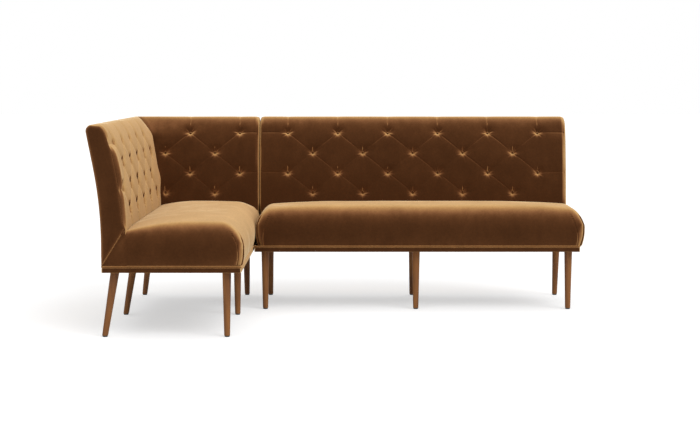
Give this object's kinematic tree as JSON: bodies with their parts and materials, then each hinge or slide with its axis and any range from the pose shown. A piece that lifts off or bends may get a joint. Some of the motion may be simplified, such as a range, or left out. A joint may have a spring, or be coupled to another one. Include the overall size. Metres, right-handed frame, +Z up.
{
  "type": "upholstered corner banquette bench",
  "caption": "L-shaped upholstered dining banquette: deep-tufted leaning backs, tight crowned seats with welted bases, and tapered round wooden legs.",
  "frame": {"origin": "on the floor, under the middle of the whole part's plan box", "axes": "+X to the right of someone who faces the bench, along the straight bench; +Y from its sitters to its back; +Z up. The corner unit is at -X and its seat runs toward -Y."},
  "size_m": [2.1914, 1.4914, 0.892],
  "materials": {
    "velvet": "brown velvet with a strong sheen at grazing angles",
    "welt": "cord covered in lighter brown velvet",
    "stud": "small studs covered in the velvet",
    "leg_wood": "satin walnut-brown stain",
    "frame_wood": "raw hardwood",
    "webbing": "woven elastic webbing",
    "foam": "cut upholstery foam",
    "dust_cloth": "thin black non-woven cloth",
    "steel": "bright zinc-plated steel",
    "glide": "dark moulded plastic"
  },
  "bodies": {
    "root": {"bench_base_boards": "frame_wood", "bench_base_cover": "velvet", "bench_welt": "welt", "bench_dust_cover": "dust_cloth", "bench_seat_rails": "frame_wood", "bench_seat_webs": "webbing", "bench_seat_foam": "foam", "bench_seat_cover": "velvet", "bench_back_posts": "frame_wood", "bench_back_rails": "frame_wood", "bench_back_webs": "webbing", "bench_back_foam": "foam", "bench_back_pad": "velvet", "bench_back_studs": "stud", "bench_outside_back": "velvet", "bench_end_panels": "velvet", "bench_seat_gussets": "velvet", "corner_base_boards": "frame_wood", "corner_base_cover": "velvet", "corner_welt": "welt", "corner_dust_cover": "dust_cloth", "corner_seat_rails": "frame_wood", "corner_seat_webs": "webbing", "corner_seat_foam": "foam", "corner_seat_cover": "velvet", "corner_back_posts": "frame_wood", "side_wing_rails": "frame_wood", "rear_wing_rails": "frame_wood", "side_wing_webs": "webbing", "rear_wing_webs": "webbing", "side_wing_foam": "foam", "rear_wing_foam": "foam", "side_wing_pad": "velvet", "rear_wing_pad": "velvet", "side_wing_studs": "stud", "rear_wing_studs": "stud", "side_wing_outside": "velvet", "rear_wing_outside": "velvet", "corner_end_panels": "velvet", "corner_seat_gussets": "velvet", "leg_1": "leg_wood", "leg_2": "leg_wood", "leg_3": "leg_wood", "leg_4": "leg_wood", "leg_5": "leg_wood", "leg_6": "leg_wood", "leg_7": "leg_wood", "leg_8": "leg_wood", "leg_9": "leg_wood", "leg_10": "leg_wood", "leg_11": "leg_wood", "leg_12": "leg_wood", "glides": "glide", "hanger_bolts": "steel", "leg_inserts": "steel", "frame_screws": "steel", "corner_blocks": "frame_wood", "joining_plates": "steel", "joining_screws": "steel"}
  },
  "joints": []
}
